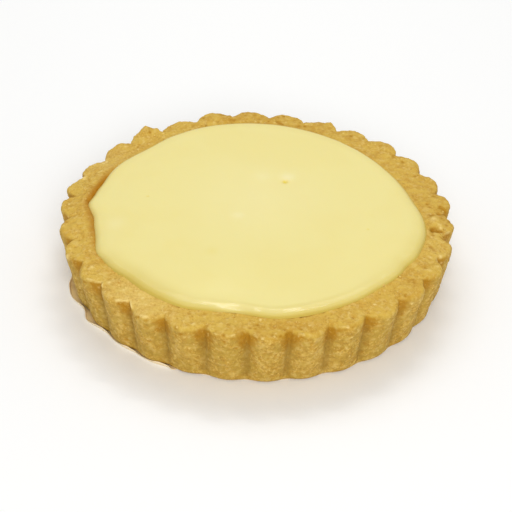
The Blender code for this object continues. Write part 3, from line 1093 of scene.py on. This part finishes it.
def addCream(material):
    piece = modelCreamBlank()
    tints = []
    for vertex in piece.data.vertices:
        radius, angle = polar(vertex.co.x, vertex.co.y)
        height = vertex.co.z
        moved, level = creamPoint(radius, height, angle)
        x, y = xy(moved, angle)
        raised, pit, halo = creamMark(x, y) if height > case["lipHeight"] else (0, 0, 0)
        vertex.co = (x, y, level + raised * mm)
        side = creamShadeShare(radius, angle) if height > cream["paintFrom"] else 0.0
        tints.append((side, min(pit, 1), min(halo, 1), 1))
    paintVertices(piece, "cream", tints)
    piece.data.shade_smooth()
    finishPiece(piece, "lemonCream", material, "lemon_filling")
    return piece


# The baking paper: a thin sheet that shows at the lower left

paper = {
    "hiddenRadius": 90.2 * mm,
    "shownRadius": 92.4 * mm,
    "hingeRadius": 91.6 * mm,
    "roundLobes": 0.8 * mm,
    "turnUp": 0.9 * mm,
    "valleyTurnUp": 1.3 * mm,
    "valleyShift": 2.5 * degree,
    "turnPower": 1.5,
    "corners": [(196.5, 3.7, 4.2), (210.8, 2.5, 2.6)],  # angle in degrees, distance in mm and spread
    "shownFrom": 160 * degree,
    "shownTo": 248 * degree,
    "ease": 22 * degree,
    "torn": 3 * degree,
    "flap": (245.8, 0.9, 0.7),  # in the same units
    "thickness": 0.3 * mm,
    "steps": 720,
    "turnRings": 4,
    "middleInset": 30 * mm,
    "inside": (91.4 * mm, 0.5 * mm),  # radius at which the edge's own tint starts, and its run
    "frayHeight": 0.25 * mm,
    "fraySize": 2.5 * mm,
}


def paperPoint(radius, angle):
    out = max(radius - paper["hingeRadius"], 0) / (paper["shownRadius"] - paper["hingeRadius"])
    start = smooth(math.remainder(angle - paper["shownFrom"], 2 * math.pi) / paper["ease"])
    end = smooth(math.remainder(paper["shownTo"] - angle, 2 * math.pi) / paper["torn"])
    shows = start * end
    tucked = (1 - shows) * (1 - paper["hiddenRadius"] / paper["shownRadius"])
    spread = paper["roundLobes"] * lobe(angle, 0) + swells(angle, paper["corners"]) * mm
    moved = radius * (1 - tucked) + spread * shows * min(radius / paper["hingeRadius"], 1)
    moved += swell(angle, *paper["flap"]) * mm * out
    stands = paper["turnUp"] + paper["valleyTurnUp"] * (1 - lobe(angle + paper["valleyShift"], 0))
    edge = Vector((*xy(paper["shownRadius"], angle), 0))
    stands += paper["frayHeight"] * noise.noise(edge / paper["fraySize"])
    return moved, stands * max(2 * shows - 1, 0) * out ** paper["turnPower"]


def addPaper(material):
    bpy.ops.mesh.primitive_circle_add(
        vertices=paper["steps"],
        radius=paper["shownRadius"],
        fill_type="NGON",
        rotation=(0, 0, case["valleyAngle"]),
    )
    piece = bpy.context.object
    bpy.ops.object.transform_apply(location=True, rotation=True, scale=True)
    edit(piece)
    bpy.ops.mesh.select_all(action="SELECT")
    turned = paper["shownRadius"] - paper["hingeRadius"]
    for _ in range(paper["turnRings"]):
        bpy.ops.mesh.inset(thickness=turned / paper["turnRings"])
    bpy.ops.mesh.inset(thickness=paper["middleInset"])
    bpy.ops.mesh.poke()
    leave(piece)
    tints = []
    for vertex in piece.data.vertices:
        radius, angle = polar(vertex.co.x, vertex.co.y)
        moved, level = paperPoint(radius, angle)
        vertex.co = (*xy(moved, angle), level)
        tints.append((ramp(radius, *paper["inside"]), 0, 0, 1))
    paintVertices(piece, "edge", tints)
    sheet = piece.modifiers.new("thickness", "SOLIDIFY")
    sheet.thickness = paper["thickness"]
    sheet.offset = 1.0
    sheet.use_even_offset = False
    bpy.context.view_layer.objects.active = piece
    bpy.ops.object.modifier_apply(modifier="thickness")
    piece.data.shade_smooth()
    finishPiece(piece, "bakingPaper", material, "baking_paper")
    return piece


# Loose crumbs on the rim

crumbs = {
    "seed": 5,
    "count": 46,
    "size": (0.3, 0.75),  # in mm
    "raised": 0.35,  # of its size, from the rim to its middle
    "above": 30 * mm,
    "level": 0.6,  # least upward part of the rim's normal
    "stretch": (0.7, 1.25),
    "bumps": 0.35,  # height and size of its bumps for a size of 1
    "bumpSize": 0.8,
    "tint": (0.05, 0.35, 0, 1),
}


def addCrumbs(host, material):
    draw = random.Random(crumbs["seed"])
    high = [v for v in host.data.vertices if v.co.z > crumbs["above"]]
    top = [v.index for v in high if v.normal.z > crumbs["level"]]
    made = []
    for _ in range(crumbs["count"]):
        spot = host.data.vertices[draw.choice(top)]
        size = draw.uniform(*crumbs["size"]) * mm
        place = spot.co + spot.normal * size * crumbs["raised"]
        bpy.ops.mesh.primitive_ico_sphere_add(subdivisions=2, radius=size, location=place)
        crumb = bpy.context.object
        crumb.scale = [draw.uniform(*crumbs["stretch"]) for _ in range(3)]
        crumb.rotation_euler = [draw.uniform(0, math.pi) for _ in range(3)]
        bpy.ops.object.transform_apply(location=True, rotation=True, scale=True)
        for vertex in crumb.data.vertices:
            bump = crumbs["bumps"] * noise.noise(vertex.co / (crumbs["bumpSize"] * size))
            vertex.co += vertex.normal * size * bump
        made.append(crumb)
    for crumb in made:
        crumb.select_set(True)
    bpy.context.view_layer.objects.active = made[0]
    bpy.ops.object.join()
    piece = bpy.context.object
    paintVertices(piece, "bakeLightAndShade", [crumbs["tint"]] * len(piece.data.vertices))
    paintVertices(piece, "shade", [(0, 0, 0, 1)] * len(piece.data.vertices))
    piece.data.shade_smooth()
    finishPiece(piece, "looseCrumbs", material, None)
    return piece


addCamera()
addStudio()
print("camera and studio set")
pastry = pastryFinish()
pastryCase = addCase(pastry)
addCrumbs(pastryCase, pastry)
addCream(creamFinish())
addPaper(paperFinish())
